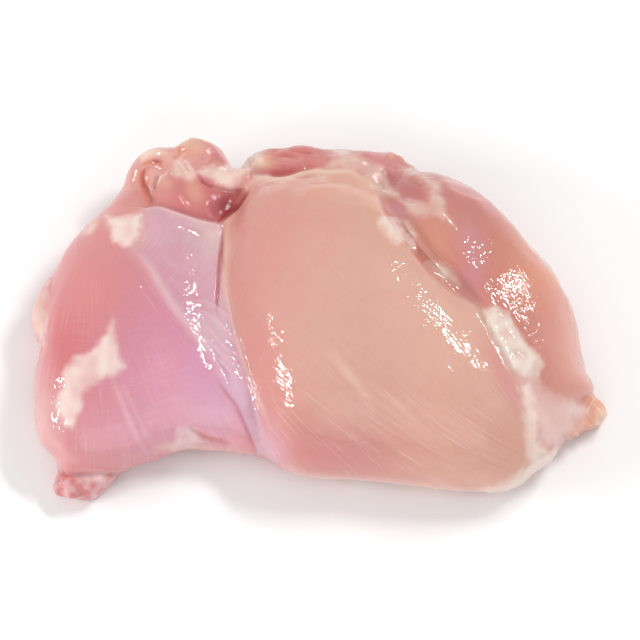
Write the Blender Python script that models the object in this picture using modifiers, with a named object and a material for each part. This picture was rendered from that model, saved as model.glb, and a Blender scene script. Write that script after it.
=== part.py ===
"""A raw chicken thigh without skin or bone, resting folded with its smooth outer side up.

Metres, +Z up. X runs along the piece, -Y is its front edge. The origin is under its middle, where it rests.
The meat is one solid: muscles that press against each other, fused, then creased along their seams.
"""

import math

import bmesh
import bpy
import numpy as np
from mathutils import Vector, noise

MM = 0.001
NAME = "chicken_thigh"
MEAT_COLOUR = (0.76, 0.42, 0.33, 1)
MEAT_ROUGHNESS = 0.35

# Driving dimensions, in metres
LENGTH = 129.5 * MM
DEPTH = 84.5 * MM
HEIGHT = 30.5 * MM

# How finely the solid is made
VOXEL = 1.0 * MM
SMOOTHING = 8
TRIANGLES = 10500
BALL_SEGMENTS = 72
BALL_RINGS = 32
STEPS_A_SPAN = 6

# Sizes in mm that the shapes share
LEAN_SPAN = 30  # a crown's lean is a share of its height over this distance
LIES_FLAT_BELOW = 0.45  # what hangs this close to the underside is part of it

# Plan outlines of the muscles, in mm, counter-clockwise from the right, as seen from above
WHOLE = [(56.5, 3), (53, 12), (46.5, 21), (40, 29.5), (32, 35.5), (21, 38.5), (5, 42), (-10, 42.5),
         (-20, 39.5), (-30, 41.5), (-40, 40.5), (-48, 32.5), (-55.5, 23.5), (-60.5, 13), (-62.5, 2),
         (-63, -12), (-62, -24), (-56, -32.5), (-42, -32.3), (-26, -26.5), (-14, -27.5), (-4, -33),
         (15, -35.5), (33, -37.8), (44, -36.3), (53, -29), (58, -14)]
LEFT = [(-17, 2), (-21, 16), (-30, 26), (-41, 37), (-50, 29.5), (-57.5, 20), (-61.5, 8), (-63, -5),
        (-64, -16), (-62, -28), (-54, -34), (-44, -33.3), (-32, -28.5), (-18, -27.2), (-11, -16)]
WEB = [(-6, -14), (-12, 8), (-20, 21), (-31, 23), (-36, 8), (-33, -12), (-24, -26), (-12, -29)]
CENTRE = [(52.5, -24), (48, -12), (41.5, 0), (31.5, 9.5), (24, 18.5), (16.5, 29.5), (6, 34.6), (-6, 35.3),
          (-16.5, 32.5), (-22, 20), (-22.5, 6), (-20, -8), (-15.5, -22), (-10.5, -31.5), (-1, -35), (15, -36),
          (33, -38.3), (44, -37.3), (52, -31)]
RIGHT = [(58.6, 0), (54.5, 10.5), (48.2, 19), (41.4, 27.8), (33.8, 34.6), (24, 38), (13, 35), (6, 22),
         (14, 6), (23, -8), (33, -21), (41, -29.5), (50, -31), (57, -22), (60, -11)]
BACK = [(24, 36), (17.3, 42.8), (5, 44), (-8, 44.9), (-15.8, 43.7), (-19, 36), (-14, 26), (0, 24), (14, 25)]
TIP_LEFT = [(-42, -31), (-43, -29), (-49, -27), (-55.5, -28.5), (-59.2, -31.5), (-59.5, -35),
            (-59.1, -38.2), (-54.5, -39.2), (-50.5, -39.5), (-47.5, -37.2), (-45, -34.4)]
TIP_RIGHT = [(64.4, -18.4), (62.6, -16.6), (60, -15.5), (56.5, -14), (52, -18), (53, -24), (57, -24.5),
             (60.4, -23), (62.6, -21.6), (64.2, -20.2)]

# Paths over the top, in mm in plan: where muscles part or overlap, and where fat stands proud
SEAM = [(11, 31), (14.8, 23.7), (18, 16.4), (22, 11.5), (26.4, 5.8), (31.6, 1.8), (36.4, -2.3),
        (40, -9), (42.4, -14.5), (45.6, -20.2), (47.6, -26.8), (48.8, -32)]
LEFT_CREASE = [(-22.3, 23), (-21.7, 15.3), (-20.9, 6.9), (-20.1, 1.8), (-18.5, -8), (-16.2, -16),
               (-13.5, -23.2), (-10.9, -29)]
MEMBRANE_EDGE = [(-21, 22.7), (-22.6, 22.5), (-27, 22.3), (-31.5, 23.8), (-35, 25.4), (-38.3, 25.6),
                 (-43, 24.5)]
CREST = [(14.2, 27.5), (12, 31), (9.5, 33.2), (6, 34.6), (0, 34.8), (-7.8, 34), (-13, 33.8), (-16.4, 32.2),
         (-19.2, 28.5), (-22.3, 21.5)]
FAT_STRIP = [(33, 4), (37, -2), (40.8, -9), (43.2, -15), (46, -21), (48, -28), (49, -33)]
FAT_FORK = [(17, 36), (20.6, 31), (25, 25), (27, 20.2), (22, 18), (15.5, 22)]
FAT_BRANCH = [(25.5, 36), (28.8, 29), (28.5, 22), (26, 18)]
KNOB_CREASE = [(-40, 26), (-39.5, 32), (-37.5, 35.5), (-34, 37)]
WEB_FOLD = [(-27, -7), (-23, -12), (-19.5, -17.5), (-17, -22), (-15.5, -28)]


def ellipse(x, y, across, deep, turn=0, points=12):
    """An oval outline in mm, turned by degrees."""
    c, s = math.cos(math.radians(turn)), math.sin(math.radians(turn))
    ring = []
    for k in range(points):
        a = 2 * math.pi * k / points
        u, v = across / 2 * math.cos(a), deep / 2 * math.sin(a)
        ring.append((x + u * c - v * s, y + u * s + v * c))
    return ring


def outline_point(outline, turn):
    """The point at a share of the way round a closed outline, on a smooth curve through its points."""
    n = len(outline)
    k = int(turn * n) % n
    t = turn * n - int(turn * n)
    a, b, c, d = (Vector(outline[(k + i) % n]) for i in (-1, 0, 1, 2))
    return 0.5 * (2 * b + (c - a) * t + (2 * a - 5 * b + 4 * c - d) * t**2 + (3 * b - a - 3 * c + d) * t**3)


def muscle(outline, crown, rim=6.5, edge=0.8, dome=0.95, lean=(0, 0), flat=1.3):
    """A muscle at rest: a sphere stretched to an outline, domed above its rim and flat below.

    crown is the top's height and rim the height of the widest part, in mm. A lower edge holds the
    sides steeper and a lower dome makes the top flatter. lean raises the crown by that share for
    each LEAN_SPAN towards +X and +Y, and a higher flat widens the flat underside.
    """
    mesh = bpy.data.meshes.new("muscle")
    ball = bmesh.new()
    bmesh.ops.create_uvsphere(ball, u_segments=BALL_SEGMENTS, v_segments=BALL_RINGS, radius=1)
    middle = sum((Vector(p) for p in outline), Vector((0, 0))) / len(outline)
    for v in ball.verts:
        reach = min(1, math.hypot(v.co.x, v.co.y))
        turn = (math.atan2(v.co.y, v.co.x) / (2 * math.pi)) % 1
        plan = (outline_point(outline, turn) - middle) * reach**edge
        if v.co.z > 0:
            tilt = 1 + (lean[0] * plan.x + lean[1] * plan.y) / LEAN_SPAN
            height = rim + (crown * tilt - rim) * v.co.z**dome
        else:
            height = rim * (1 - min(1, flat * math.sqrt(-v.co.z)))
        v.co = Vector((middle.x + plan.x, middle.y + plan.y, height)) * MM
    ball.to_mesh(mesh)
    ball.free()
    return mesh


def all_muscles():
    """Every muscle of the piece, and the scraps at its corners."""
    return [
        muscle(WHOLE, 15, rim=5),
        muscle(LEFT, 21, lean=(0, 0.05)),
        muscle(WEB, 18.5, rim=6),
        muscle(CENTRE, 30, edge=0.75, dome=1.0, lean=(-0.05, 0.04)),
        muscle(RIGHT, 25, lean=(-0.12, 0.02)),
        muscle(BACK, 17.5, rim=7),
        muscle(TIP_LEFT, 7.5, rim=4, edge=0.6),
        muscle(TIP_RIGHT, 8, rim=3.5, edge=0.6),
        muscle(ellipse(-29, 28, 25, 19), 18.5),
        muscle(ellipse(-27.5, 39.3, 14, 10, -12), 20, rim=10),
        muscle(ellipse(-37.6, 37.6, 16, 10, 30), 18, rim=9),
        muscle(ellipse(-20, 34, 22, 7, 5), 16.5, rim=9),
        muscle(ellipse(-59.1, 4.5, 12, 19, -8), 12),
    ]


def fused(meshes):
    """One closed surface round all the muscles, smoothed."""
    joined = bmesh.new()
    for mesh in meshes:
        joined.from_mesh(mesh)
    mesh = bpy.data.meshes.new("muscles")
    joined.to_mesh(mesh)
    joined.free()
    maker = bpy.data.objects.new("muscles", mesh)
    bpy.context.scene.collection.objects.link(maker)
    remesh = maker.modifiers.new("fuse", "REMESH")
    remesh.mode = "VOXEL"
    remesh.voxel_size = VOXEL
    smooth = maker.modifiers.new("soften", "SMOOTH")
    smooth.iterations = SMOOTHING
    made = bpy.data.meshes.new_from_object(maker.evaluated_get(bpy.context.evaluated_depsgraph_get()))
    bpy.data.objects.remove(maker)
    return made


def smooth_line(path):
    """Points along a smooth open curve through a path's points."""
    before = Vector(path[0]) * 2 - Vector(path[1])
    after = Vector(path[-1]) * 2 - Vector(path[-2])
    ends = [before, *path, after]
    line = []
    for k in range(len(path) - 1):
        line += [outline_point(ends[k : k + 4], (1 + t / STEPS_A_SPAN) / 4) for t in range(STEPS_A_SPAN)]
    return np.array([*line, path[-1]], float)


class Surface:
    """The fused meat's points in mm, with what moves them: seams, ridges and lips, placed in plan."""

    def __init__(self, mesh):
        self.mesh = mesh
        points = np.empty(len(mesh.vertices) * 3, np.float32)
        mesh.vertices.foreach_get("co", points)
        self.points = points.reshape(-1, 3).astype(float) / MM
        normals = np.empty_like(points)
        mesh.vertex_normals.foreach_get("vector", normals)
        self.facing_up = np.clip(normals.reshape(-1, 3)[:, 2] * 2.5, 0, 1)

    def near(self, path):
        """Each point's distance in plan from a smooth path, positive on its left, and the fade at its ends."""
        line = smooth_line(path)
        away = np.full(len(self.points), np.inf)
        share = np.zeros(len(self.points))
        for k, (a, b) in enumerate(zip(line[:-1], line[1:])):
            run = b - a
            from_a = self.points[:, :2] - a
            t = np.clip(from_a @ run / (run @ run), 0, 1)
            gap = np.hypot(*(from_a - t[:, None] * run).T)
            side = np.sign(run[0] * from_a[:, 1] - run[1] * from_a[:, 0])
            closer = gap < np.abs(away)
            away[closer] = (gap * side)[closer]
            share[closer] = ((k + t) / (len(line) - 1))[closer]
        return away, np.clip(5 * np.minimum(share, 1 - share), 0, 1)

    def fold(self, path, width, height):
        """Raises a ridge along a path, or sinks a groove where height is negative."""
        away, fade = self.near(path)
        self.points[:, 2] += height * np.exp(-((away / width) ** 2)) * fade * self.facing_up

    def lip(self, path, rise, reach, sharp=0.8):
        """Raises the left side of a path into a step, which sinks back over its reach."""
        away, fade = self.near(path)
        step = 0.5 + 0.5 * np.tanh(away / sharp)
        back = np.exp(-((np.maximum(away, 0) / reach) ** 2))
        self.points[:, 2] += rise * step * back * fade * self.facing_up

    def lump(self, height, size, where=(0, 0), reach=np.inf):
        """Uneven bumps of some size over the top, inside a reach of one place, or everywhere."""
        near = np.exp(-((np.hypot(*(self.points[:, :2] - where).T) / reach) ** 4))
        bumps = np.array([noise.noise(Vector(p) / size) for p in self.points])
        self.points[:, 2] += height * bumps * near * self.facing_up

    def fit(self):
        """Rests the underside flat and brings the piece to its driving dimensions."""
        z = self.points[:, 2]
        z -= z.min()
        z[z < LIES_FLAT_BELOW] = 0
        low, high = self.points.min(0), self.points.max(0)
        middle = (low + high) / 2 * (1, 1, 0)
        self.points = (self.points - middle) * np.array([LENGTH, DEPTH, HEIGHT]) / (high - low)

    def write(self):
        """Puts the points back into the mesh, in metres."""
        self.mesh.vertices.foreach_set("co", self.points.astype(np.float32).ravel())
        self.mesh.update()


def relief(surface):
    """The seams between the muscles, the membrane's free edge, the raised fat and the uneven back edge."""
    surface.fold(SEAM, 1.8, -0.8)
    surface.fold(FAT_STRIP, 1.8, 1.4)
    surface.fold(FAT_FORK, 1.6, 0.5)
    surface.fold(FAT_BRANCH, 1.6, 0.5)
    surface.fold(LEFT_CREASE, 1.3, -1.3)
    surface.lip(MEMBRANE_EDGE, 1.6, 9)
    surface.lip(CREST, 1.5, 9)
    surface.fold(KNOB_CREASE, 1.2, -0.8)
    surface.fold(WEB_FOLD, 1.1, -0.9)
    surface.lump(0.6, 11)
    surface.lump(1.4, 4.5, (0, 39), 18)
    surface.lump(1.3, 4, (-30, 37), 9)


def meat():
    """Wet, pale pink raw meat."""
    material = bpy.data.materials.new("raw meat")
    material.use_nodes = True
    shader = material.node_tree.nodes["Principled BSDF"]
    shader.inputs["Base Color"].default_value = MEAT_COLOUR
    shader.inputs["Roughness"].default_value = MEAT_ROUGHNESS
    shader.inputs["Metallic"].default_value = 0
    return material


def main():
    for obj in list(bpy.data.objects):
        bpy.data.objects.remove(obj)

    body = fused(all_muscles())
    surface = Surface(body)
    relief(surface)
    surface.fit()
    surface.write()
    body.shade_smooth()
    body.materials.append(meat())

    thigh = bpy.data.objects.new(NAME, body)
    collection = bpy.data.collections.new("raw chicken thigh")
    bpy.context.scene.collection.children.link(collection)
    collection.objects.link(thigh)
    facets = thigh.modifiers.new("facets", "DECIMATE")
    facets.ratio = TRIANGLES / (2 * len(body.polygons))


main()
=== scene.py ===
import itertools
import math

import bpy
import numpy as np
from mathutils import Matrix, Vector


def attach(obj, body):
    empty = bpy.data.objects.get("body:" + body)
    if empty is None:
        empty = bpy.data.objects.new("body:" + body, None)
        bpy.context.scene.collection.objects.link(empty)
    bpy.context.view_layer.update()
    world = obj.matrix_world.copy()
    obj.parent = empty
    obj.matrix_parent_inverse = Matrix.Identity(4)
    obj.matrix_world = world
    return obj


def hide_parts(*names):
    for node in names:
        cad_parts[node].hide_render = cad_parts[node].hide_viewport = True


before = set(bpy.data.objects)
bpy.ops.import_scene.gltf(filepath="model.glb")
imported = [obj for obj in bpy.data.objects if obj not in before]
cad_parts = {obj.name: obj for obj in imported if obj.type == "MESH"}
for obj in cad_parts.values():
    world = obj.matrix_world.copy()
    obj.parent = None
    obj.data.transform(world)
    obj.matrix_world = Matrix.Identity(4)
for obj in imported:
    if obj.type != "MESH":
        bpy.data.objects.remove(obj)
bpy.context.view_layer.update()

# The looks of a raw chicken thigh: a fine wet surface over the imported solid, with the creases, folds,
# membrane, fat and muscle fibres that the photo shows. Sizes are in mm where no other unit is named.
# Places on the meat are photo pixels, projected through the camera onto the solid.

MM = 0.001
NODE = "chicken_thigh"

# The photo's view
PHOTO = 640
MM_A_PIXEL = 0.2242
DISTANCE = 700
ELEVATION = math.radians(65)
AIM = np.array([0.45, -2.72, 12])
SENSOR = 36
UP = np.array([0, math.sin(ELEVATION), math.cos(ELEVATION)])
TO_CAMERA = np.array([0, -math.cos(ELEVATION), math.sin(ELEVATION)])

# The fine surface: its cells in mm and how often they are evened out, and the steps between a line's points
FINE = 0.36
SMOOTHING = 32
STEPS_A_SPAN = 5

# Layers of unevenness: the size of the features and their height in mm, and the seed
UNEVEN = [(9, 0.22, 1), (4, 0.12, 2), (1.8, 0.03, 3)]
UNEVEN_HIDDEN = [(6, 0.45, 31), (2.6, 0.2, 32)]
FOLDED = [(2.6, 0.5, 4), (1.2, 0.3, 6)]
RAGGED = [(1.3, 1, 7), (0.6, 0.6, 3)]

# Noise: the size of its features in mm and its seed
VEINS = (9, 35)
FAT_LUMPS = (1.8, 5)
GLITTER_GRAINS = (1.0, 21)
PATCHES = (7, 11)
CLOUDS = (2.2, 12)
SPECKS = (1.5, 13)
RED_FIELDS = (11, 34)
PALE_FIELDS = (9, 36)
FLECKS = (5, 33)
FLECK_EDGES = (1.3, 37)

# How wide a vein is, as a share of the noise's height
VEIN_WIDTH = 0.07

# Relief heights in mm, how steep the membrane's edge is and how far its step reaches, in pixels, and how
# often the step under the crest is evened out
MEMBRANE_STEP = 0.9
MEMBRANE_LIP = 1.2
MEMBRANE_REACH = 18
HOLLOW_DEPTH = 0.5
BACK_DEPTH = 0.3
GLITTER_HEIGHT = 0.08
SEAM_DEPTH = 0.5
FOLD_HEIGHT = 0.9
SCRAP_HEIGHT = 1.1
EVENING_ROUNDS = 90

# Where the muscles meet, in photo pixels
LEFT_CREASE = [(221, 222), (222, 250), (225, 280), (229, 300), (236, 340), (246, 372), (257, 403),
               (268, 432), (280, 462)]
SEAM = [(375, 190), (386, 213), (400, 236), (418, 256), (438, 280), (462, 296), (484, 312), (500, 340),
        (512, 365), (525, 392), (530, 425), (530, 455), (520, 478)]
CREST = [(236, 200), (249, 182), (260, 177), (277, 176), (291, 173), (304, 169), (316, 168), (328, 170),
         (340, 169), (351, 169), (361, 176), (372, 185), (385, 195)]
BOTTOM_RIM = [(280, 464), (300, 478), (330, 483), (380, 486), (430, 492), (480, 497), (515, 488)]
OUTER_RIGHT = [(408, 163), (440, 174), (480, 190), (510, 220), (545, 262), (568, 300), (578, 340),
               (592, 395)]
CENTRE = [*LEFT_CREASE, (300, 530), (420, 530), (500, 510), *SEAM[::-1], *CREST[::-1]]

# How the fibres of the central muscle run, from its lower left side to the seam, how many lie between two of
# these lines, and the gap in pixels that is taken below the first
FLOW = [
    [(215, 330), (240, 372), (262, 408), (285, 440), (312, 470), (330, 490)],
    [(215, 290), (245, 335), (275, 365), (310, 388), (345, 412), (380, 436), (415, 458), (450, 474),
     (490, 486)],
    [(215, 240), (250, 280), (285, 310), (320, 338), (355, 368), (390, 398), (430, 430), (475, 458),
     (525, 476)],
    [(225, 195), (262, 240), (300, 268), (340, 300), (380, 335), (420, 372), (455, 402), (490, 424),
     (525, 448)],
    [(290, 185), (320, 220), (360, 262), (400, 305), (440, 350), (475, 388), (524, 432)],
    [(345, 180), (385, 228), (430, 285), (475, 325), (500, 370), (524, 415)],
]
FIBRES_A_GAP = 16
FIRST_GAP = 40

# How the fibres run on the other muscles: the places that they spread from or run to, in photo pixels, and
# on the right muscle the bend along its outer edge, in degrees, and its reach in pixels
LEFT_ROOT = (90, 200)
RIGHT_ROOT = (610, 440)
BEND = 30
BEND_REACH = 20

# One number for each muscle, so that no fibre runs on from one to the next
GRAIN_NUMBER = {"left": 10, "centre": 20, "right": 30, "back": 40, "tucked": 50}

# How far from a line, in pixels, the side that a point is on still counts
FAR = 400

# The membrane over the left muscle
MEMBRANE_EDGE = [(141, 208), (160, 206), (180, 212), (200, 219), (221, 223)]
MEMBRANE_BORDER = [(125, 246), (146, 263), (163, 290), (177, 311), (194, 332), (212, 356), (224, 386)]
MEMBRANE = [*MEMBRANE_EDGE, *LEFT_CREASE[1:], (264, 470), (255, 447), (247, 428), (235, 404), (224, 386),
            (212, 356), (194, 332), (177, 311), (163, 290), (146, 263), (125, 246), (141, 228)]
WEB_FOLD = [(215, 377), (222, 387), (229, 396), (236, 405), (243, 419), (248, 431), (255, 448), (258, 460)]
WRINKLES = [
    [(188, 300), (200, 301), (208, 303), (218, 308), (226, 315), (233, 324)],
    [(196, 309), (204, 312), (214, 318), (224, 328), (236, 345)],
    [(203, 322), (210, 330), (218, 339), (228, 349), (238, 358)],
    [(200, 332), (210, 342), (219, 350), (230, 361), (243, 370)],
    [(213, 356), (222, 363), (232, 373), (246, 384)],
]


def in_photo(points):
    """Where points in mm fall in the photo, in pixels."""
    from_aim = points - AIM
    scale = DISTANCE / (DISTANCE - from_aim @ TO_CAMERA) / MM_A_PIXEL
    return np.stack([PHOTO / 2 + from_aim[:, 0] * scale, PHOTO / 2 - (from_aim @ UP) * scale], 1)


def smooth_line(path):
    """Points along a smooth open curve through a path's points."""
    ends = np.array([2 * np.array(path[0]) - path[1], *path, 2 * np.array(path[-1]) - path[-2]], float)
    line = []
    for a, b, c, d in zip(ends, ends[1:], ends[2:], ends[3:]):
        for k in range(STEPS_A_SPAN):
            t = k / STEPS_A_SPAN
            square, cube = 2 * a - 5 * b + 4 * c - d, 3 * b - a - 3 * c + d
            line.append(0.5 * (2 * b + (c - a) * t + square * t**2 + cube * t**3))
    return np.array([*line, path[-1]])


def linear(colour):
    """An sRGB colour from 0 to 255 as linear light."""
    c = np.array(colour) / 255
    return np.where(c < 0.04045, c / 12.92, ((c + 0.055) / 1.055) ** 2.4)


class Meat:
    """The fine surface: its points in mm, where each falls in the photo, and what the material reads."""

    def __init__(self, node):
        piece = bpy.data.objects.new("thigh_meat", node.data.copy())
        bpy.context.scene.collection.objects.link(piece)
        remesh = piece.modifiers.new("fine", "REMESH")
        remesh.mode = "VOXEL"
        remesh.voxel_size = FINE * MM
        smooth = piece.modifiers.new("smooth", "SMOOTH")
        smooth.iterations = SMOOTHING
        mesh = bpy.data.meshes.new_from_object(piece.evaluated_get(bpy.context.evaluated_depsgraph_get()))
        piece.modifiers.clear()
        piece.data = mesh
        self.piece = piece
        self.mesh = mesh
        self.points = self.read(mesh.vertices, "co") / MM
        self.normals = self.read(mesh.vertex_normals, "vector")
        self.photo = in_photo(self.points)
        self.seen = np.clip(2.5 * self.normals @ TO_CAMERA + 0.2, 0, 1)
        self.colour = np.ones((len(self.points), 3))
        self.fat = np.zeros(len(self.points))
        self.film = np.zeros(len(self.points))
        self.fibre = np.full(len(self.points), 0.5)
        self.grain = np.zeros((len(self.points), 3))

    def read(self, rows, name):
        """The vectors of a name that some rows of the mesh hold."""
        values = np.empty(len(rows) * 3, np.float32)
        rows.foreach_get(name, values)
        return values.reshape(-1, 3).astype(float)

    def refresh(self):
        """Puts the moved points into the mesh and reads the normals again."""
        self.mesh.vertices.foreach_set("co", (self.points * MM).astype(np.float32).ravel())
        self.mesh.update()
        self.normals = self.read(self.mesh.vertex_normals, "vector")

    def bumps(self, size, seed):
        """Smooth noise from -1 to 1 over the surface, with features of a size in mm."""
        place = (self.points - self.points.min(0)) / size
        cell = np.floor(place).astype(int)
        part = place - cell
        part = part * part * (3 - 2 * part)
        values = np.random.default_rng(seed).uniform(-1, 1, cell.max(0) + 2)
        total = np.zeros(len(place))
        for corner in itertools.product((0, 1), repeat=3):
            total += np.where(corner, part, 1 - part).prod(1) * values[tuple((cell + corner).T)]
        return total

    def uneven(self, layers):
        """Layers of smooth noise, added up."""
        return sum(height * self.bumps(size, seed) for size, height, seed in layers)

    def hidden(self):
        """1 on the sides that the photo does not show, 0 on what it shows."""
        return np.clip(0.6 - 2 * self.normals @ TO_CAMERA, 0, 1)

    def veins(self, size, seed):
        """1 along thin winding lines, a size in mm apart."""
        return np.exp(-((self.bumps(size, seed) / VEIN_WIDTH) ** 2))

    def near(self, line, reach):
        """Pixels from a line in the photo, positive on its right as it is walked, and the share along it."""
        line = np.array(line, float)
        low, high = line.min(0) - reach, line.max(0) + reach
        picked = np.flatnonzero(((self.photo > low) & (self.photo < high)).all(1))
        spots = self.photo[picked]
        best = np.full(len(picked), np.inf)
        side = np.ones(len(picked))
        along = np.zeros(len(picked))
        for k, (a, b) in enumerate(zip(line, line[1:])):
            run = b - a
            from_a = spots - a
            t = np.clip(from_a @ run / (run @ run), 0, 1)
            gap = np.hypot(*(from_a - t[:, None] * run).T)
            closer = gap < best
            best[closer] = gap[closer]
            side[closer] = np.sign(run[0] * from_a[:, 1] - run[1] * from_a[:, 0])[closer]
            along[closer] = ((k + t) / (len(line) - 1))[closer]
        away = np.full(len(self.points), 1e3)
        share = np.zeros(len(self.points))
        away[picked] = best * side
        share[picked] = along
        return away, share

    def line(self, path, width, fade=0.2):
        """1 on a smooth line in the photo, falling off over a width in pixels and towards its ends."""
        away, share = self.near(smooth_line(path), 4 * width)
        ends = np.clip(np.minimum(share, 1 - share) / fade, 0, 1)
        return np.exp(-((away / width) ** 2)) * ends * self.seen

    def area(self, outline, soft=2.0, ragged=0.0, everywhere=False):
        """1 inside a closed outline in the photo, with an edge that is soft, and ragged, by some pixels."""
        closed = np.array([*outline, outline[0]], float)
        away = np.abs(self.near(closed, 3 * (soft + ragged) + 1)[0])
        x, y = self.photo.T
        inside = np.zeros(len(x), bool)
        for (ax, ay), (bx, by) in zip(closed, closed[1:]):
            if ay != by:
                inside ^= ((ay > y) != (by > y)) & (x < ax + (bx - ax) * (y - ay) / (by - ay))
        depth = np.where(inside, away, -away)
        if ragged:
            depth = depth + ragged * self.uneven(RAGGED)
        mask = np.clip(0.5 + depth / (2 * soft), 0, 1)
        mask = mask * mask * (3 - 2 * mask)
        return mask if everywhere else mask * self.seen

    def spot(self, x, y, across, deep, turn=0):
        """1 in the middle of a soft oval in the photo, of a size in pixels, turned by degrees."""
        c, s = math.cos(math.radians(turn)), math.sin(math.radians(turn))
        dx, dy = (self.photo - (x, y)).T
        return np.exp(-(((dx * c + dy * s) / across * 2) ** 2) - ((dy * c - dx * s) / deep * 2) ** 2)

    def soften(self, mask, rounds):
        """Evens out the relief where the mask is 1."""
        ends = np.empty(len(self.mesh.edges) * 2, np.int32)
        self.mesh.edges.foreach_get("vertices", ends)
        a, b = ends.reshape(-1, 2).T
        size = len(self.points)
        count = np.bincount(a, minlength=size) + np.bincount(b, minlength=size)
        share = mask[:, None] / 2
        for _ in range(rounds):
            sums = [np.bincount(a, row[b], size) + np.bincount(b, row[a], size) for row in self.points.T]
            self.points += share * (np.stack(sums, 1) / count[:, None] - self.points)

    def raise_by(self, height):
        """Moves every point out along its normal, by mm."""
        self.points += self.normals * np.asarray(height)[:, None]

    def paint(self, mask, colour, strength=1.0):
        """Tints the surface where the mask is 1."""
        share = np.asarray(mask)[:, None] * strength
        self.colour = self.colour * (1 - share) + linear(colour) * share

    def finish(self):
        """Keeps the points clear of the floor and hands the material its attributes."""
        self.points[:, 2] = np.maximum(self.points[:, 2], 0)
        self.refresh()
        for name, values in (("tint", self.colour), ("grain", self.grain)):
            attribute = self.mesh.attributes.new(name, "FLOAT_VECTOR", "POINT")
            attribute.data.foreach_set("vector", values.astype(np.float32).ravel())
        for name, values in (("fat", self.fat), ("film", self.film), ("fibre", self.fibre)):
            attribute = self.mesh.attributes.new(name, "FLOAT", "POINT")
            attribute.data.foreach_set("value", values.astype(np.float32))
        self.mesh.shade_smooth()


# Colours of the meat, and of painted shade, from 0 to 255 in sRGB
PEACH = (217, 166, 150)
STRAW = (226, 178, 146)
APRICOT = (213, 147, 125)
SALMON = (219, 148, 141)
BLUSH = (217, 145, 144)
PINK = (208, 136, 160)
VIOLET = (212, 148, 180)
LILAC = (222, 172, 198)
FILM = (211, 171, 181)
PEARL = (231, 204, 202)
RAW_RED = (205, 124, 120)
# The tucked muscle's deep red, darkened with painted shade for the cavity beside it
CAVITY_RED_SHADE = (132, 4, 10)
CREAM = (234, 207, 189)
WHITE = (243, 226, 216)
GLASSY = (224, 190, 176)
RIGHT_TONE = (197, 124, 109)
CENTRE_TONE = (222, 164, 150)
BACK_TONE = (208, 140, 134)
BACK_ROSE = (208, 134, 130)
HOLLOW_RED = (187, 112, 106)
KNOB_TONE = (219, 158, 148)
TUCKED_RED = (198, 107, 107)
HIDDEN_RED = (200, 116, 112)
HIDDEN_PALE = (226, 176, 164)
VEIN = (234, 200, 192)
SHEET = (226, 190, 182)
RIM_CREAM = (238, 214, 204)
SCRAP = (216, 167, 167)
SCRAP_SPECK = (204, 98, 94)
TIP = (232, 170, 142)
TIP_END = (240, 208, 182)
TIP_FAT = (236, 214, 204)
PALE_FIBRE = (244, 209, 203)
DARK_FIBRE = (196, 104, 100)
WEAVE = (236, 200, 214)
MOTTLE = (214, 130, 126)

# Fat and tendon, as outlines in photo pixels, with how far each stands proud in mm and its colour
FAT = {
    "left patch": ([(114, 321), (115, 336), (118, 352), (125, 366), (117, 374), (101, 379), (91, 385),
                    (83, 394), (82, 404), (78, 416), (73, 427), (66, 425), (60, 415), (56, 406), (58, 394),
                    (65, 387), (63, 374), (76, 357), (93, 350), (104, 336)], 0.35, (242, 223, 214)),
    "by the membrane": ([(106, 216), (120, 219), (141, 215), (141, 228), (136, 238), (132, 245), (125, 246),
                         (114, 241), (110, 230)], 0.4, WHITE),
    "upper left edge": ([(83, 234), (88, 223), (95, 215), (98, 219), (96, 227),
                         (90, 234)], 0.3, (230, 202, 188)),
    "left edge": ([(30, 330), (30, 310), (36, 292), (48, 282), (49, 296), (46, 312), (46, 330), (43, 345)],
                  0.2, (226, 190, 178)),
    "front": ([(178, 431), (188, 427), (197, 433), (202, 441), (184, 447), (174, 450)], 0.4, PEARL),
    "fold on the knob": ([(139, 159), (145, 152), (154, 148), (164, 148), (167, 153), (162, 156), (156, 158),
                          (148, 161), (140, 163)], 0.5, CREAM),
    "tongue in the fold": ([(148, 172), (153, 169), (160, 168), (159, 175), (154, 184), (150, 193),
                            (148, 184)], 0.6, (228, 184, 176)),
    "tuft": ([(174, 162), (181, 158), (188, 165), (194, 172), (197, 178), (191, 181), (182, 178), (176, 176),
              (171, 171)], 0.6, (234, 205, 192)),
    "tendon": ([(199, 172), (205, 168), (212, 165), (231, 166), (240, 165), (248, 157), (259, 154),
                (263, 160), (256, 166), (247, 171), (240, 181), (233, 190), (225, 188), (212, 180),
                (203, 175)],
               0.8, (240, 220, 206)),
    "back": ([(326, 168), (330, 163), (336, 159), (343, 150), (354, 154), (367, 160), (379, 166), (384, 177),
              (389, 186), (400, 197), (388, 196), (370, 186), (360, 174), (347, 169)], 0.4, GLASSY),
    "fork": ([(400, 171), (411, 167), (424, 176), (438, 185), (445, 203), (446, 214), (456, 228), (444, 220),
              (431, 216), (416, 218), (408, 210), (400, 200), (409, 199), (418, 203), (428, 205), (431, 196),
              (427, 184), (416, 176), (405, 174)], 0.5, (221, 187, 173)),
    "seam": ([(379, 220), (385, 216), (396, 219), (402, 230), (407, 241), (399, 245), (390, 239),
              (382, 230)], 0.7, WHITE),
    "seam, small": ([(402, 221), (409, 223), (416, 236), (415, 241), (409, 236),
                     (404, 227)], 0.6, (226, 192, 182)),
    "seam, low": ([(406, 241), (413, 243), (417, 249), (411, 248)], 0.5, WHITE),
    "wedge": ([(428, 263), (444, 265), (452, 272), (460, 286), (448, 281),
               (434, 272)], 0.4, (232, 206, 193)),
    "strip": ([(484, 311), (495, 308), (508, 314), (513, 324), (519, 335), (528, 347), (538, 356),
               (543, 366), (538, 374), (524, 376), (512, 372), (504, 360), (495, 342),
               (487, 328)], 0.6, (241, 231, 219)),
    "strip, low": ([(521, 388), (529, 384), (534, 398), (536, 420), (535, 440), (544, 448), (548, 458),
                    (536, 468), (522, 481), (504, 492), (484, 496), (490, 487), (512, 476), (528, 464),
                    (526, 446), (524, 420)], 0.5, (237, 217, 204)),
}

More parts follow.
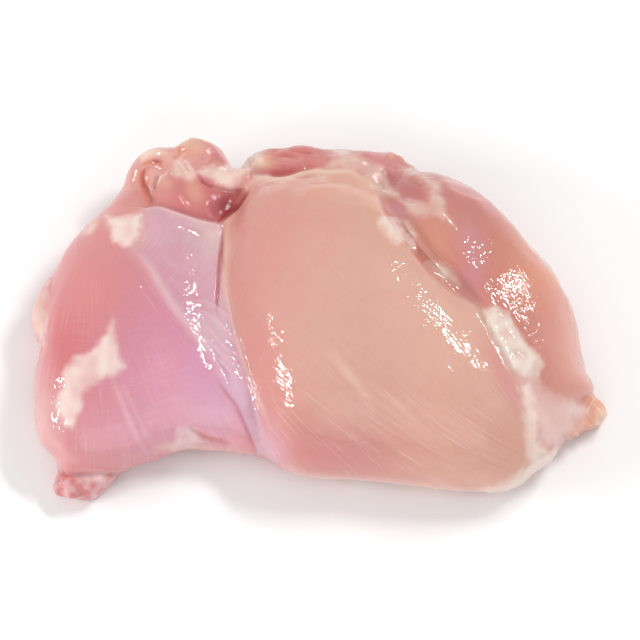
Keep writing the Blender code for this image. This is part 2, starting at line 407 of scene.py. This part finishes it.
# Other areas in photo pixels
UNDER_CREST = [(252, 188), (275, 180), (300, 174), (330, 174), (352, 174), (370, 188), (384, 200),
               (384, 216), (360, 200), (330, 192), (295, 193), (270, 199), (250, 206)]
TUCKED = [(150, 208), (153, 188), (160, 178), (170, 171), (182, 177), (192, 182), (199, 173), (212, 182),
          (231, 191), (249, 186), (243, 197), (235, 207), (225, 217), (217, 225), (206, 223), (193, 220),
          (177, 214), (161, 208)]
BACK_RED = [(262, 172), (260, 160), (267, 148), (284, 147), (304, 147), (312, 151), (318, 166), (301, 169),
            (292, 172), (281, 174)]
BACK_PINK = [(303, 151), (326, 148), (338, 147), (373, 152), (412, 160), (400, 172), (388, 168), (370, 159),
             (344, 150), (328, 163), (318, 166)]
HOLLOW = [(384, 172), (405, 175), (424, 184), (425, 202), (408, 201), (399, 198), (391, 189), (387, 179)]
LOW_RIM = [(478, 491), (505, 485), (524, 473), (540, 457), (556, 448), (562, 456), (546, 480), (520, 498),
           (480, 508)]
FASCIA = [(516, 372), (536, 374), (544, 386), (556, 396), (570, 402), (584, 405), (588, 412), (578, 424),
          (562, 434), (548, 446), (532, 440), (530, 410), (524, 388)]
TIP_LEFT = [(50, 464), (57, 466), (66, 473), (80, 474), (100, 473), (125, 473), (142, 467), (150, 470),
            (95, 510), (50, 505)]
TIP_RIGHT = [(576, 426), (584, 412), (586, 398), (610, 396), (612, 425), (585, 442), (564, 448), (564, 438)]

# Soft ovals in photo pixels: the middle, the size and any turn
KNOB_FOLDS = (190, 158, 70, 26)
LEFT_FILM = (165, 370, 190, 170)
SCRAP_FAT = (98, 478, 24, 10)
TIP_END_SPOT = (601, 416, 12, 26, 20)
TIP_FAT_SPOT = (577, 410, 16, 12, 20)

# Where parts of the meat start and end across the photo, and the upper ones down it, in pixels
UPPER_END = 190
KNOB_END = 250
LEFT_END = 300
RIGHT_START = 375
BACK_END = 400

# Soft patches of colour, in photo pixels: the muscle, the middle, the size, the turn, colour and strength;
# the dark ones behind the crest and in the cavity are painted shade
FLUSHES = [
    ("left", (150, 345), (170, 210), 0, PINK, 0.85),
    ("left", (175, 385), (110, 90), 0, (224, 158, 180), 0.8),
    ("left", (205, 360), (50, 70), -30, VIOLET, 0.8),
    ("left", (218, 405), (70, 70), -30, LILAC, 0.85),
    ("left", (62, 345), (76, 120), 15, (208, 110, 114), 0.85),
    ("left", (95, 285), (80, 100), 20, (216, 140, 134), 0.7),
    ("left", (45, 420), (30, 90), 0, (222, 180, 176), 0.7),
    ("left", (140, 432), (130, 50), -5, (227, 166, 184), 0.6),
    ("left", (130, 215), (90, 50), -20, SALMON, 0.7),
    ("left", (122, 200), (50, 14), -30, (210, 134, 132), 0.6),
    ("left", (150, 185), (40, 60), 0, (222, 158, 150), 0.6),
    ("right", (460, 195), (110, 40), 25, (198, 125, 123), 0.8),
    ("right", (545, 275), (100, 70), 50, (219, 150, 124), 0.85),
    ("right", (572, 350), (60, 120), -12, (223, 163, 150), 0.9),
    ("right", (556, 434), (50, 36), -30, (213, 170, 170), 0.8),
    ("right", (430, 240), (60, 60), 30, APRICOT, 0.8),
    ("right", (402, 208), (34, 24), 20, (210, 144, 148), 0.85),
    ("right", (480, 322), (40, 80), -30, (212, 144, 140), 0.8),
    ("right", (560, 420), (50, 50), 0, (223, 178, 172), 0.7),
    ("centre", (280, 205), (110, 80), 0, (214, 151, 141), 0.85),
    ("centre", (345, 188), (110, 40), 0, (227, 168, 144), 0.8),
    ("centre", (440, 330), (140, 190), -35, (224, 178, 156), 0.8),
    ("centre", (262, 260), (80, 110), 0, (213, 145, 140), 0.7),
    ("centre", (440, 445), (160, 70), 15, (223, 168, 146), 0.8),
    ("centre", (345, 330), (170, 180), 0, (215, 167, 154), 0.7),
    ("centre", (388, 222), (22, 60), -30, (222, 172, 132), 0.5),
    ("centre", (265, 370), (50, 180), -12, (216, 145, 137), 0.9),
    ("centre", (325, 455), (170, 70), 10, (210, 134, 130), 0.95),
    ("centre", (268, 450), (30, 60), -20, LILAC, 0.8),
    ("centre", (512, 388), (26, 60), -30, (213, 147, 147), 0.65),
    ("centre", (499, 362), (24, 50), -35, (214, 145, 140), 0.65),
    ("film", (215, 235), (50, 60), 0, (227, 199, 196), 0.7),
    ("film", (141, 236), (14, 22), 20, (222, 168, 146), 0.8),
    ("film", (160, 225), (50, 40), 0, (218, 176, 192), 0.7),
    ("film", (225, 335), (70, 70), 0, (216, 189, 199), 0.8),
    ("film", (238, 390), (60, 70), 0, (221, 182, 200), 0.8),
    ("back", (266, 161), (22, 18), 0, STRAW, 0.9),
    ("back", (255, 158), (18, 18), 0, CREAM, 0.85),
    ("knob", (248, 162), (20, 20), 0, CREAM, 0.85),
    # Painted shade behind the crest's lip, on the back strip
    ("back", (284, 171), (44, 8), -4, (176, 60, 66), 0.85),
    ("back", (290, 158), (50, 9), 0, (218, 146, 142), 0.7),
    # Painted shade in the cavity beside the tucked muscle, over its deep red
    ("tucked", (230, 204), (34, 26), -50, CAVITY_RED_SHADE, 0.95),
    ("tucked", (240, 196), (14, 26), 35, (186, 84, 80), 0.7),
    ("tucked", (207, 181), (30, 12), 30, (206, 100, 108), 0.8),
    ("tucked", (194, 188), (18, 32), -20, (224, 164, 142), 0.85),
    ("tucked", (164, 181), (20, 18), 0, (220, 168, 150), 0.8),
    ("knob", (192, 146), (30, 20), 0, (224, 182, 156), 0.8),
    ("knob", (216, 156), (26, 30), 40, (214, 140, 138), 0.7),
    ("knob", (186, 152), (22, 12), 0, (220, 150, 128), 0.6),
    ("knob", (170, 157), (24, 14), 0, (232, 184, 170), 0.7),
]

# Soft swellings and dents that bring the outline and the steps closer to the photo: the middle and the size
# in photo pixels, and the height in mm
SWELLINGS = [
    ((228, 205), (20, 18), -0.9),
    ((592, 352), (50, 90), -1.2),
    ((590, 387), (40, 28), 2.2),
    ((594, 436), (24, 14), -1.0),
    ((52, 466), (20, 40), -1.2),
    ((538, 476), (36, 26), -0.8),
]

# How much more the fibres show: on each muscle, and at spots of the central one, in photo pixels, by the
# middle, the size, the turn and the change
FIBRES_BY_PART = {"centre": -0.3, "tucked": -0.35, "left": -0.1, "right": -0.25}
FIBRES_BY_SPOT = [
    ((430, 440), (200, 120), 10, 0.8),
    ((500, 440), (90, 110), 0, 0.5),
    ((350, 400), (200, 120), 20, 0.3),
    ((290, 440), (60, 90), -30, 0.5),
]

# Where the wet surface is uneven enough to glitter, in photo pixels: the middle, the size and the turn
GLITTER = [
    ((202, 161), (24, 16), 0),
    ((205, 241), (28, 40), 0),
    ((185, 201), (14, 26), -30),
    ((210, 211), (12, 20), -25),
    ((141, 207), (16, 12), 0),
    ((228, 198), (14, 16), 0),
    ((437, 288), (36, 30), 40),
    ((504, 286), (60, 40), 40),
    ((541, 322), (30, 44), -30),
    ((483, 365), (26, 30), 45),
    ((452, 258), (12, 18), 0),
    ((288, 162), (40, 18), 0),
    ((62, 366), (24, 20), -40),
    ((60, 420), (26, 24), 0),
    ((70, 440), (24, 14), 35),
    ((84, 451), (22, 12), 35),
    ((240, 284), (20, 40), 10),
    ((232, 352), (24, 50), -25),
    ((250, 397), (14, 24), -20),
    ((78, 484), (40, 16), 0),
    ((575, 410), (26, 16), 30),
    ((532, 405), (16, 30), 0),
    ((540, 350), (30, 24), 0),
]

# Creases and grooves, in photo pixels: the path, its width, its depth in mm, its colour and strength
# The dark reds along the grooves are partly the meat's own tone and partly painted shade
CREASES = [
    (LEFT_CREASE[2:], 5, -0.6, (216, 152, 160), 0.4),
    ([(400, 224), (410, 236), (420, 248), (432, 262), (446, 274)], 4.5, -0.9, (206, 138, 128), 0.5),
    ([(223, 221), (222, 241), (220, 261), (219, 275), (218, 290), (217, 304),
      (219, 318)], 1.5, 0.6, (186, 88, 90), 0.9),
    # Painted shade under the step from the central muscle down into the cavity by the tucked one
    ([(249, 187), (243, 197), (235, 207), (225, 217), (217, 225)], 2.0, 0.9, (160, 46, 48), 0.9),
    ([(401, 226), (408, 235), (414, 242), (418, 254), (427, 265),
      (432, 273)], 1.3, 0.25, (204, 108, 98), 0.85),
    ([(409, 236), (415, 243)], 1.4, 0.3, (198, 98, 92), 0.6),
    (SEAM[:7], 2.4, 0.4, (210, 145, 132), 0.4),
    (SEAM[5:], 4, -0.5, (232, 206, 192), 0.4),
    (WEB_FOLD, 1.6, 0.25, (194, 116, 140), 0.6),
    ([(184, 424), (196, 432), (208, 438), (222, 442), (234, 447)], 2.2, 0.4, (212, 124, 112), 0.7),
    ([(138, 165), (145, 162), (152, 161), (159, 163), (163, 167)], 2.2, 0.6, (218, 114, 92), 0.9),
    ([(150, 166), (144, 173), (143, 182), (147, 191), (149, 198),
      (149, 206)], 2.4, 0.7, (222, 118, 96), 0.9),
    ([(159, 175), (154, 185), (151, 192)], 1.6, 0.7, (198, 110, 100), 0.7),
    ([(197, 174), (203, 180), (216, 187), (230, 191), (240, 190)], 1.8, 0.8, (196, 100, 100), 0.7),
    ([(177, 149), (182, 150), (186, 150)], 1.6, 0.4, (214, 120, 92), 0.8),
    ([(181, 150), (178, 155), (172, 160)], 1.6, 0.5, (216, 140, 120), 0.6),
    # Painted shade behind the crest's lip, along the back strip
    ([(262, 173), (281, 174), (292, 172), (304, 169), (318, 167)], 2.0, 0.5, (180, 76, 78), 0.8),
    ([(399, 198), (408, 203), (416, 203)], 1.6, 0.4, (190, 110, 104), 0.6),
    ([(52, 464), (60, 470), (70, 475), (100, 475), (125, 475), (142, 469)], 2.2, 0.6, (178, 84, 84), 0.7),
    ([(592, 396), (585, 411), (576, 427), (565, 439)], 4.5, -1.4, (228, 172, 156), 0.8),
    ([(586, 404), (596, 412), (602, 424)], 1.4, 0.35, (212, 130, 100), 0.7),
    ([(580, 414), (590, 422), (596, 430)], 1.4, 0.35, (212, 134, 104), 0.6),
    ([(566, 436), (574, 434), (580, 436)], 1.4, 0.5, (196, 112, 84), 0.8),
    ([(268, 158), (284, 155), (300, 158)], 1.6, 0.4, (184, 84, 84), 0.5),
    ([(286, 150), (300, 152), (316, 152)], 1.6, 0.4, (190, 96, 92), 0.5),
]

# Raised edges and wrinkles, in photo pixels: the path, its width, its height in mm, its colour and strength
RIDGES = [
    ([(x, y + 2) for x, y in MEMBRANE_EDGE], 1.8, 0.3, PEARL, 0.6),
    (MEMBRANE_BORDER, 4, 0.15, (231, 200, 202), 0.6),
    ([(228, 218), (228, 240), (226, 262), (225, 280), (227, 296), (231, 312), (235, 326)], 3.4, 0.3,
     (226, 186, 170), 0.8),
    ([(231, 308), (236, 332), (242, 353), (252, 380), (263, 408),
      (272, 430)], 1.5, 0.1, (232, 196, 192), 0.7),
    ([(x, y + 3) for x, y in CREST], 2.6, 0.3, (234, 202, 178), 0.8),
    ([(372, 185), (380, 191), (390, 196), (400, 197)], 2.0, 0.3, (232, 196, 172), 0.7),
    ([(250, 177), (262, 178), (272, 176)], 2.5, 0.3, (232, 196, 190), 0.7),
    # A pale membrane rim along the bottom edge, painted paler than it is as painted light against the shade
    # under the edge
    (BOTTOM_RIM, 5.5, 0.15, (250, 224, 218), 0.9),
    ([(141, 161), (146, 155), (154, 151), (164, 151)], 2.6, 0, (244, 226, 206), 0.8),
    ([(150, 450), (176, 447), (210, 450), (262, 458)], 4, 0, (233, 198, 188), 0.7),
    ([(112, 376), (119, 395), (127, 415), (138, 438), (148, 456)], 2.6, 0, (234, 186, 196), 0.6),
    ([(120, 378), (130, 400), (141, 424), (150, 444)], 2.0, 0, (230, 178, 192), 0.5),
    ([(171, 170), (160, 179), (155, 186)], 1.5, 0.4, (234, 200, 182), 0.8),
    ([(324, 346), (349, 374), (362, 391), (376, 414)], 4, 0, (231, 194, 178), 0.6),
    ([(178, 190), (184, 200), (192, 211)], 1.8, 0.4, (222, 146, 144), 0.4),
    ([(204, 202), (209, 210), (214, 219)], 1.8, 0.4, (214, 124, 126), 0.4),
    ([(176, 160), (184, 168), (193, 178)], 1.3, 0.3, (240, 212, 200), 0.7),
    ([(184, 158), (191, 167), (196, 176)], 1.2, 0.25, (240, 214, 204), 0.7),
    ([(185, 148), (190, 142), (198, 139), (206, 142)], 2.4, 0.4, (232, 192, 166), 0.7),
    ([(197, 157), (203, 153), (209, 156), (207, 162), (200, 164)], 1.6, 0.35, (226, 164, 152), 0.5),
    ([(212, 148), (219, 157), (226, 165)], 2.2, 0.3, (208, 132, 134), 0.5),
    ([(382, 162), (388, 157), (394, 155), (400, 158), (406, 163)], 4.0, 0.7, (216, 152, 136), 0.6),
    ([(264, 158), (276, 156), (290, 160), (303, 163)], 1.2, 0.35, (222, 156, 150), 0.5),
    ([(300, 152), (312, 156), (322, 153)], 1.2, 0.35, (216, 144, 142), 0.5),
    ([(329, 152), (340, 152), (350, 155)], 2.0, 0.3, (236, 208, 198), 0.8),
    ([(266, 165), (280, 163), (296, 166)], 1.4, 0.4, (216, 140, 136), 0.5),
    ([(274, 152), (290, 151), (306, 155)], 1.5, 0.4, (214, 140, 136), 0.5),
    ([(437, 180), (456, 183), (478, 190)], 1.4, 0.1, (226, 170, 160), 0.6),
    ([(446, 187), (466, 196), (484, 202)], 1.2, 0.1, (224, 165, 152), 0.5),
    ([(457, 212), (468, 232), (474, 255), (472, 277), (480, 300)], 11, 0, (203, 138, 148), 0.6),
    *((path, 1.7, 0.32, (226, 186, 200), 0.5) for path in WRINKLES),
]

# The wet surface, how often its patterns come for each mm, or across and along the fibres, and the bumps'
# depth in mm
SURFACE = {
    "Subsurface Weight": 0.35,
    "Subsurface Radius": (1.0, 0.35, 0.22),
    "Subsurface Scale": 0.0017,
    "IOR": 1.4,
    "Specular IOR Level": 0.3,
    "Roughness": 0.5,
    "Coat Weight": 1.0,
    "Coat Roughness": 0.02,
    "Coat IOR": 1.45,
}
FINE_FIBRES = (1.7, 0.06)
COARSE_FIBRES = (0.6, 0.035)
WEAVE_THREADS = (0.12, 2.2)
WET_DASHES = (0.85, 0.3)
WET_BEADS = 1.1
MOTTLES = 0.26
BUMP_DEPTH = 0.1

# The softboxes: the direction from the meat, the width, depth and distance in mm, and the power in watts
LIGHTS = {
    "left softbox": ((-0.9, -0.16, 0.36), 270, 52, 600, 1.5),
    "back softbox": ((0.5, 0.38, 0.75), 190, 50, 600, 1.5),
    "front fill": ((0.05, -0.9, 0.5), 700, 700, 900, 1.6),
}

# The brightness all around, how far the floor reaches and how far below the meat it is in mm, and its colour
SURROUNDINGS = 0.55
FLOOR_REACH = 3000
FLOOR_DROP = 0.2
FLOOR_WHITE = (0.96, 0.96, 0.96, 1)


def muscles(meat):
    """How much each point belongs to each of the muscles and to the film over the left one."""
    x, y = meat.photo.T
    behind = meat.near(smooth_line(CREST), FAR)[0] < 0
    beyond = meat.near(smooth_line(SEAM), FAR)[0] < 0
    centre = meat.area(CENTRE, 1.5, everywhere=True)
    tucked = meat.area(TUCKED, 1.5)
    upper = y < UPPER_END
    knob = upper & (x < KNOB_END) & (tucked < 0.5)
    return {
        "left": (x < LEFT_END) & ~knob & (centre < 0.5),
        "right": beyond & (x > RIGHT_START),
        "centre": centre,
        "back": behind & upper & (x > KNOB_END) & (x < BACK_END),
        "tucked": tucked,
        "knob": knob,
        "film": meat.area(MEMBRANE, 2),
    }


def add_grain(meat, parts):
    """The muscle fibres' own coordinates: across them, along them, and one number for each muscle."""
    x, y = meat.photo.T

    def use(mask, across, along, part):
        grain = np.stack([across, along, np.full(len(x), GRAIN_NUMBER[part])], 1)
        meat.grain[mask] = grain[mask]

    everywhere = np.ones(len(x), bool)
    dx, dy = x - LEFT_ROOT[0], y - LEFT_ROOT[1]
    use(everywhere, np.degrees(np.arctan2(dx, dy)) * 0.8, np.hypot(dx, dy) * MM_A_PIXEL, "left")

    dx, dy = RIGHT_ROOT[0] - x, RIGHT_ROOT[1] - y
    away = np.abs(meat.near(smooth_line(OUTER_RIGHT), FAR)[0])
    bent = np.degrees(np.arctan2(dy, dx)) + BEND * np.exp(-away / BEND_REACH)
    use(parts["right"], bent, np.hypot(dx, dy) * MM_A_PIXEL, "right")

    # On the central muscle, the place between two neighbouring flow lines
    gaps = np.stack([meat.near(smooth_line(path), 1.5 * FAR)[0] for path in FLOW])
    place = np.abs(gaps[0]) / -FIRST_GAP
    for k, (low, high) in enumerate(zip(gaps, gaps[1:])):
        place = np.where(low < 0, k + np.minimum(low / np.minimum(low - np.abs(high), -1e-6), 1), place)
    use(parts["centre"] > 0.5, place * FIBRES_A_GAP, (x + y) * 0.7 * MM_A_PIXEL, "centre")

    use(parts["back"] & (parts["centre"] < 0.5), y * 0.9 + 4 * np.sin(x / 15), x * MM_A_PIXEL, "back")
    use(parts["tucked"] > 0.5, x * 0.6 - y * 0.25, y * MM_A_PIXEL, "tucked")


def shape(meat, parts):
    """The relief that the solid is too coarse for."""
    meat.soften(meat.area(UNDER_CREST, 4), EVENING_ROUNDS)
    meat.refresh()
    meat.raise_by(meat.uneven(UNEVEN))

    # The membrane ends over the tucked muscle
    edge, share = meat.near(smooth_line(MEMBRANE_EDGE), 60)
    ends = np.clip(8 * np.minimum(share, 1 - share), 0, 1)
    under = (0.5 - 0.5 * np.tanh(edge / MEMBRANE_LIP)) * np.exp(-np.abs(edge) / MEMBRANE_REACH) * ends
    meat.raise_by(-MEMBRANE_STEP * under * meat.seen)
    for (x, y), (across, deep), height in SWELLINGS:
        meat.raise_by(height * meat.spot(x, y, across, deep))
    meat.raise_by(-HOLLOW_DEPTH * meat.area(HOLLOW, 4))
    meat.raise_by(-BACK_DEPTH * parts["back"] * meat.area(BACK_RED, 4))

    for path, width, depth, *_ in CREASES:
        meat.raise_by(-depth * meat.line(path, width))
    for path, width, height, *_ in RIDGES:
        meat.raise_by(height * meat.line(path, width))

    # Fat stands proud, in soft lumps
    lumps = 0.75 + 0.4 * meat.bumps(*FAT_LUMPS)
    for outline, height, _ in FAT.values():
        meat.raise_by(height * lumps * meat.area(outline, 5, 1.5))

    # The wet surface is uneven where it glitters
    small = meat.bumps(*GLITTER_GRAINS)
    for (x, y), (across, deep), turn in GLITTER:
        meat.raise_by(GLITTER_HEIGHT * small * meat.spot(x, y, across, deep, turn))

    # Seams between the muscles on the sides that the photo leaves out
    meat.raise_by(meat.hidden() * (meat.uneven(UNEVEN_HIDDEN) - SEAM_DEPTH * meat.veins(*VEINS)))

    # Folds of the back strip, the knob and the scraps
    rough = meat.uneven(FOLDED)
    folded = 0.7 * meat.area(BACK_RED, 4) + 0.3 * meat.area(BACK_PINK, 4) + 0.5 * meat.spot(*KNOB_FOLDS)
    scraps = np.clip(meat.area(TIP_LEFT, 4) + meat.area(TIP_RIGHT, 4), 0, 1)
    meat.raise_by(FOLD_HEIGHT * rough * folded + SCRAP_HEIGHT * rough * scraps)
    meat.refresh()


def colours(meat, parts):
    """The meat's colours, from the broad fields to the lines between the muscles, with painted shade in the
    creases.
    """
    patchy = 0.5 + 0.5 * meat.bumps(*PATCHES)
    cloudy = 0.8 + 0.3 * meat.bumps(*CLOUDS)
    meat.paint(np.ones(len(meat.points)), BLUSH)
    meat.paint(patchy, SALMON, 0.4)
    meat.paint(parts["right"], RIGHT_TONE)
    meat.paint(parts["centre"], PEACH)
    meat.paint(parts["centre"] * patchy, CENTRE_TONE, 0.35)
    meat.paint(parts["back"], BACK_TONE)
    meat.paint(meat.area(BACK_RED, 3, 2), RAW_RED, 0.95)
    meat.paint(meat.area(BACK_PINK, 4, 3), BACK_ROSE, 0.8)
    meat.paint(meat.area(HOLLOW, 3.5, 1.5), HOLLOW_RED, 0.95)
    meat.paint(parts["knob"], KNOB_TONE, 0.9)
    meat.paint(parts["tucked"], TUCKED_RED, 0.95)
    meat.paint(parts["film"], FILM, 0.95)
    for part, (x, y), (across, deep), turn, colour, strength in FLUSHES:
        meat.paint(parts[part] * meat.spot(x, y, across, deep, turn), colour, strength)
    # The creases' dark colours are partly painted shade in the grooves
    for path, width, _, colour, strength in CREASES + RIDGES:
        meat.paint(meat.line(path, width * 1.2, 0.25), colour, strength)

    # The hidden sides: redder and paler fields, thin seams and flecks of fat
    hidden = meat.hidden()
    meat.paint(hidden * np.clip(2 * meat.bumps(*RED_FIELDS), 0, 1), HIDDEN_RED, 0.6)
    meat.paint(hidden * np.clip(2 * meat.bumps(*PALE_FIELDS), 0, 1), HIDDEN_PALE, 0.6)
    meat.paint(hidden * meat.veins(*VEINS), VEIN, 0.6)
    flecks = hidden * np.clip(5 * (meat.bumps(*FLECKS) - 0.42) + 1.5 * meat.bumps(*FLECK_EDGES), 0, 1)
    meat.paint(flecks, CREAM, 0.85)
    meat.fat = np.maximum(meat.fat, flecks)

    # The pale sheet between the strip and the right tip
    sheet = meat.area(FASCIA, 6, 3)
    meat.paint(sheet, SHEET, 0.8)
    meat.fat = np.maximum(meat.fat, 0.5 * sheet)

    meat.paint(meat.area(LOW_RIM, 4, everywhere=True), RIM_CREAM, 0.85)

    # The scraps at the corners
    scrap = meat.area(TIP_LEFT, 3)
    meat.paint(scrap, SCRAP, 0.9)
    meat.paint(scrap * np.clip(0.5 + 2 * meat.bumps(*SPECKS), 0, 1), SCRAP_SPECK, 0.7)
    meat.paint(meat.spot(*SCRAP_FAT), PEARL, 0.8)
    meat.paint(meat.area(TIP_RIGHT, 6, 3), TIP, 0.85)
    meat.paint(meat.spot(*TIP_END_SPOT), TIP_END, 0.8)
    meat.paint(meat.spot(*TIP_FAT_SPOT), TIP_FAT, 0.7)

    for outline, _, colour in FAT.values():
        mask = meat.area(outline, 4.5, 1.8)
        meat.paint(mask * np.clip(cloudy, 0, 1), colour, 0.95)
        meat.fat = np.maximum(meat.fat, mask)
    meat.film = np.maximum(parts["film"], 0.8 * parts["left"] * meat.spot(*LEFT_FILM))
    for part, change in FIBRES_BY_PART.items():
        meat.fibre += change * parts[part]
    for (x, y), (across, deep), turn, change in FIBRES_BY_SPOT:
        meat.fibre += change * parts["centre"] * meat.spot(x, y, across, deep, turn)


def meat_material():
    """Wet raw meat: its colours, the fibres along each muscle, and a film of water that breaks up light."""
    material = bpy.data.materials.new("raw_meat")
    material.use_nodes = True
    nodes, links = material.node_tree.nodes, material.node_tree.links
    shader = nodes["Principled BSDF"]

    def node(kind, **settings):
        made = nodes.new("ShaderNode" + kind)
        for name, value in settings.items():
            if name in made.inputs:
                made.inputs[name].default_value = value
            else:
                setattr(made, name, value)
        return made

    def attribute(name):
        return node("Attribute", attribute_name=name)

    def noise_of(vector, scale, detail, roughness=0.6):
        made = node("TexNoise", Scale=scale, Detail=detail, Roughness=roughness)
        links.new(vector, made.inputs["Vector"])
        return made.outputs["Fac"]

    def stretched(vector, x, y, z=1.0):
        made = node("VectorMath", operation="MULTIPLY")
        links.new(vector, made.inputs[0])
        made.inputs[1].default_value = (x, y, z)
        return made.outputs[0]

    def maths(operation, a, b):
        made = node("Math", operation=operation)
        for socket, value in zip(made.inputs, (a, b)):
            if isinstance(value, (int, float)):
                socket.default_value = value
            else:
                links.new(value, socket)
        return made.outputs[0]

    def between(value, low, high):
        """0 where a value is low and 1 where it is high."""
        made = node("MapRange")
        links.new(value, made.inputs["Value"])
        made.inputs["From Min"].default_value = low
        made.inputs["From Max"].default_value = high
        return made.outputs[0]

    def tinted(factor, strength, below, colour):
        """A colour laid over what is below, as strongly as a factor says."""
        made = node("Mix", data_type="RGBA", blend_type="MIX")
        links.new(maths("MULTIPLY", factor, strength), made.inputs[0])
        links.new(below, made.inputs[6])
        made.inputs[7].default_value = (*linear(colour), 1)
        return made.outputs[2]

    tint = attribute("tint").outputs["Color"]
    fat = attribute("fat").outputs["Fac"]
    film = attribute("film").outputs["Fac"]
    grain = attribute("grain").outputs["Vector"]
    place = stretched(node("TexCoord").outputs["Object"], 1 / MM, 1 / MM, 1 / MM)
    lean = maths("SUBTRACT", 1.0, fat)

    fine = noise_of(stretched(grain, *FINE_FIBRES), 1.0, 4.0)
    coarse = noise_of(stretched(grain, *COARSE_FIBRES), 1.0, 2.0)
    mottle = noise_of(place, MOTTLES, 4.0)

    lines = maths("MULTIPLY", lean, attribute("fibre").outputs["Fac"])
    weave = noise_of(stretched(grain, *WEAVE_THREADS), 1.0, 2.0)
    streaks = maths("MULTIPLY", between(fine, 0.54, 0.7), lines)
    dark = maths("MULTIPLY", between(coarse, 0.5, 0.3), lines)
    across = maths("MULTIPLY", between(weave, 0.45, 0.7), maths("MULTIPLY", lean, film))
    colour = tinted(streaks, 0.4, tint, PALE_FIBRE)
    colour = tinted(dark, 0.14, colour, DARK_FIBRE)
    colour = tinted(across, 0.18, colour, WEAVE)
    colour = tinted(between(mottle, 0.45, 0.75), 0.16, colour, MOTTLE)
    links.new(colour, shader.inputs["Base Color"])
    for name, value in SURFACE.items():
        shader.inputs[name].default_value = value

    fibres = node("Bump", Strength=0.3, Distance=BUMP_DEPTH * MM)
    links.new(maths("MULTIPLY", fine, lean), fibres.inputs["Height"])
    links.new(fibres.outputs[0], shader.inputs["Normal"])

    dashes = noise_of(stretched(grain, *WET_DASHES), 1.0, 1.0, 0.3)
    beads = noise_of(place, WET_BEADS, 1.0, 0.3)
    wet = node("Bump", Strength=1.0, Distance=BUMP_DEPTH * MM)
    links.new(maths("ADD", dashes, maths("MULTIPLY", beads, 0.8)), wet.inputs["Height"])
    links.new(wet.outputs[0], shader.inputs["Coat Normal"])
    return material


def area_light(name, towards, across, deep, distance, power):
    """A softbox in a direction from the meat, aimed at it."""
    light = bpy.data.lights.new(name, "AREA")
    light.shape = "RECTANGLE"
    light.size = across * MM
    light.size_y = deep * MM
    light.energy = power
    lamp = bpy.data.objects.new(name, light)
    direction = Vector(towards).normalized()
    lamp.location = direction * distance * MM
    lamp.rotation_euler = direction.to_track_quat("Z", "Y").to_euler()
    bpy.context.scene.collection.objects.link(lamp)


def studio():
    """The photo's camera, softboxes and a plain pale floor."""
    scene = bpy.context.scene
    lens = bpy.data.cameras.new("camera")
    lens.sensor_width = SENSOR
    lens.lens = SENSOR * DISTANCE / (PHOTO * MM_A_PIXEL)
    lens.clip_start = 0.01
    camera = bpy.data.objects.new("camera", lens)
    camera.location = Vector(AIM + TO_CAMERA * DISTANCE) * MM
    camera.rotation_euler = Vector(TO_CAMERA).to_track_quat("Z", "Y").to_euler()
    scene.collection.objects.link(camera)
    scene.camera = camera

    world = bpy.data.worlds.new("studio")
    world.use_nodes = True
    background = world.node_tree.nodes["Background"]
    background.inputs["Color"].default_value = (1, 1, 1, 1)
    background.inputs["Strength"].default_value = SURROUNDINGS
    scene.world = world
    for name, settings in LIGHTS.items():
        area_light(name, *settings)

    floor = bpy.data.meshes.new("floor")
    side = FLOOR_REACH * MM
    corners = [(-side, -side, 0), (side, -side, 0), (side, side, 0), (-side, side, 0)]
    floor.from_pydata(corners, [], [(0, 1, 2, 3)])
    table = bpy.data.objects.new("floor", floor)
    table.location.z = -FLOOR_DROP * MM
    white = bpy.data.materials.new("floor")
    white.use_nodes = True
    paint = white.node_tree.nodes["Principled BSDF"]
    paint.inputs["Base Color"].default_value = FLOOR_WHITE
    paint.inputs["Roughness"].default_value = 0.7
    floor.materials.append(white)
    scene.collection.objects.link(table)
    scene.view_settings.view_transform = "Standard"


studio()
meat = Meat(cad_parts[NODE])
parts = muscles(meat)
shape(meat, parts)
add_grain(meat, parts)
colours(meat, parts)
meat.finish()
meat.mesh.materials.clear()
meat.mesh.materials.append(meat_material())
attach(meat.piece, "root")
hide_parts(NODE)
